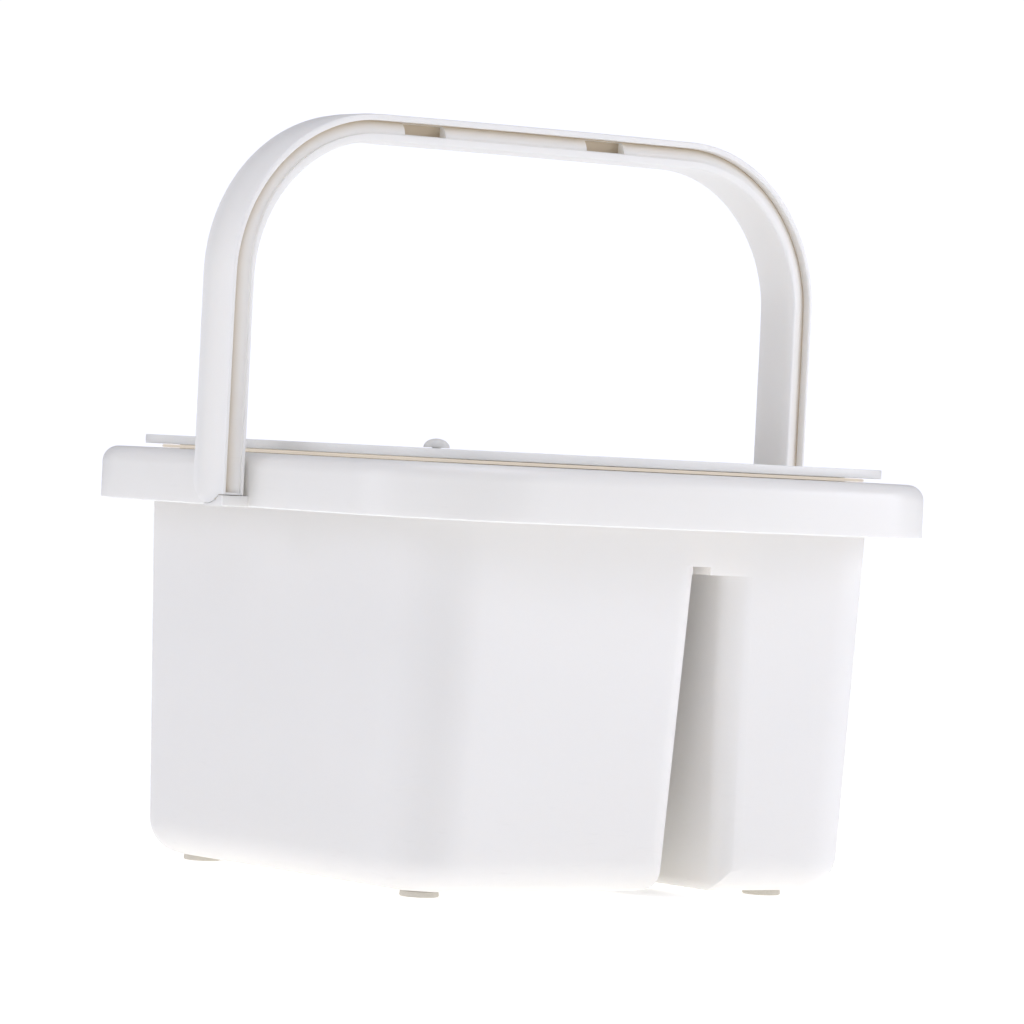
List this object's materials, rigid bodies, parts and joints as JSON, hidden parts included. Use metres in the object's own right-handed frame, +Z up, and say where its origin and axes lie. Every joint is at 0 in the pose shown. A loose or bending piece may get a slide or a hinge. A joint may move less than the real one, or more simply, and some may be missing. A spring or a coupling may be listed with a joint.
{
  "type": "cleaning caddy",
  "caption": "Rectangular two-compartment plastic tub with an overhanging collar, a flat lift-off lid with a small knob and a folding bail handle.",
  "frame": {"origin": "on the floor plane under the feet, at the middle of the caddy's width and depth", "axes": "+X to the right along the handle's span, +Y from the front, where the slot faces, to the back, +Z up"},
  "size_m": [0.335, 0.3392, 0.3557],
  "materials": {
    "tub": "matte moulded white polypropylene",
    "rim_collar": "satin to glossy white polypropylene",
    "lid": "satin white polypropylene",
    "lid_seal": "matte tan soft strip",
    "lid_knob": "satin off-white plastic",
    "handle": "satin white polypropylene",
    "foot": "matte grey-brown rubber pad"
  },
  "bodies": {
    "base": {"tub": "tub", "rim_collar": "rim_collar", "foot_front_left": "foot", "foot_front_right": "foot", "foot_back_left": "foot", "foot_back_right": "foot"},
    "lid_body": {"lid": "lid", "lid_seal": "lid_seal", "lid_knob": "lid_knob"},
    "bail": {"handle": "handle"}
  },
  "joints": [
    {"name": "handle_swing", "type": "hinge", "parent": "base", "child": "bail", "pos_m": [0, 0, 0.1852], "axis": [1, 0, 0], "range_deg": [-78, 0]},
    {"name": "lid_lift", "type": "slide", "parent": "base", "child": "lid_body", "axis": [0, 0, 1], "range_m": [0, 0.08]}
  ]
}
